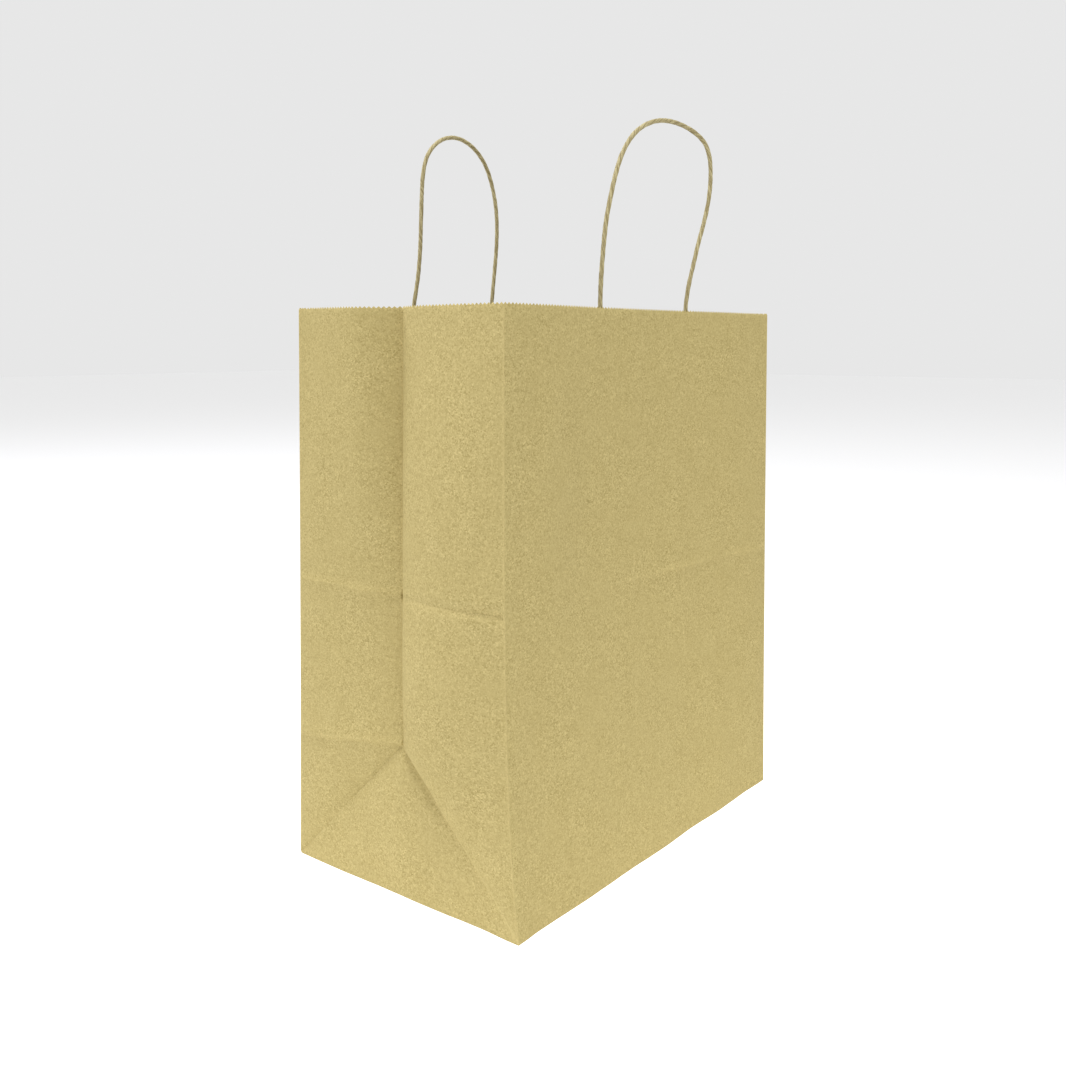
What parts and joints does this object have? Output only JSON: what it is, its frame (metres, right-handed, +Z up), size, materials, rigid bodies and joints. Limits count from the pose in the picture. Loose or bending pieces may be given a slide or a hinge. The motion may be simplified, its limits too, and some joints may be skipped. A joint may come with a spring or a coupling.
{
  "type": "kraft paper carrier bag",
  "caption": "Open flat-bottomed kraft paper carrier bag with side gussets, serrated mouth and a twisted paper cord handle on each wide face.",
  "frame": {"origin": "middle of the base, on the surface the bag stands on", "axes": "+Z up through the mouth, X along the wide faces, Y through the gusseted sides, front face at -Y"},
  "size_m": [0.2634, 0.1601, 0.4088],
  "materials": {
    "kraft": "matte uncoated brown kraft paper",
    "kraft_patch": "matte uncoated brown kraft paper, glued strip",
    "twisted_kraft": "twisted kraft paper cord, matte with a hard-rolled surface"
  },
  "bodies": {
    "root": {"bag_body": "kraft", "handle_cord_front": "twisted_kraft", "handle_cord_back": "twisted_kraft", "patch_outer_front": "kraft_patch", "patch_inner_front": "kraft_patch", "patch_outer_back": "kraft_patch", "patch_inner_back": "kraft_patch"}
  },
  "joints": []
}
